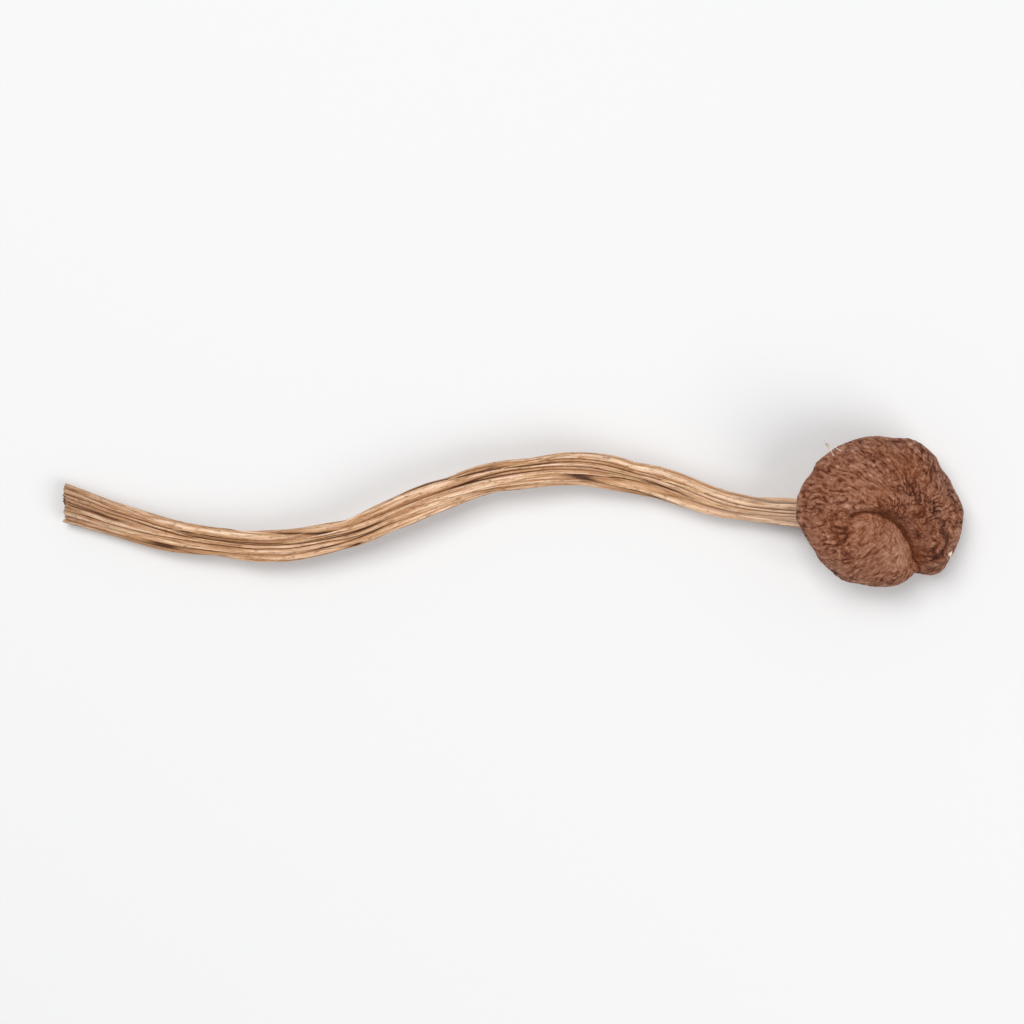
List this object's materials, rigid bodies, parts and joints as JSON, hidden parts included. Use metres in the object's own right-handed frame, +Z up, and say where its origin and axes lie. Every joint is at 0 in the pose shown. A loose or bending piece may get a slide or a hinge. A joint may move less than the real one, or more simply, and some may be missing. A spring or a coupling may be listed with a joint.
{
  "type": "dried tea tree mushroom",
  "caption": "Dried mushroom lying on its side, with a curled, wrinkled brown cap, open gills, a torn veil and a long ribbed tan stem.",
  "frame": {"origin": "on the surface that the mushroom lies on, under the middle of its length and width", "axes": "+X along the stem towards the cap, +Z up from the surface, +Y across"},
  "size_m": [0.1512, 0.0256, 0.0189],
  "materials": {
    "dried_flesh": "dry fibrous tan flesh with dark furrows",
    "cap_skin": "wrinkled reddish brown skin, satin",
    "gills": "matte cinnamon brown",
    "veil": "thin matte cream skin"
  },
  "bodies": {
    "root": {"mushroom": "dried_flesh"}
  },
  "joints": []
}
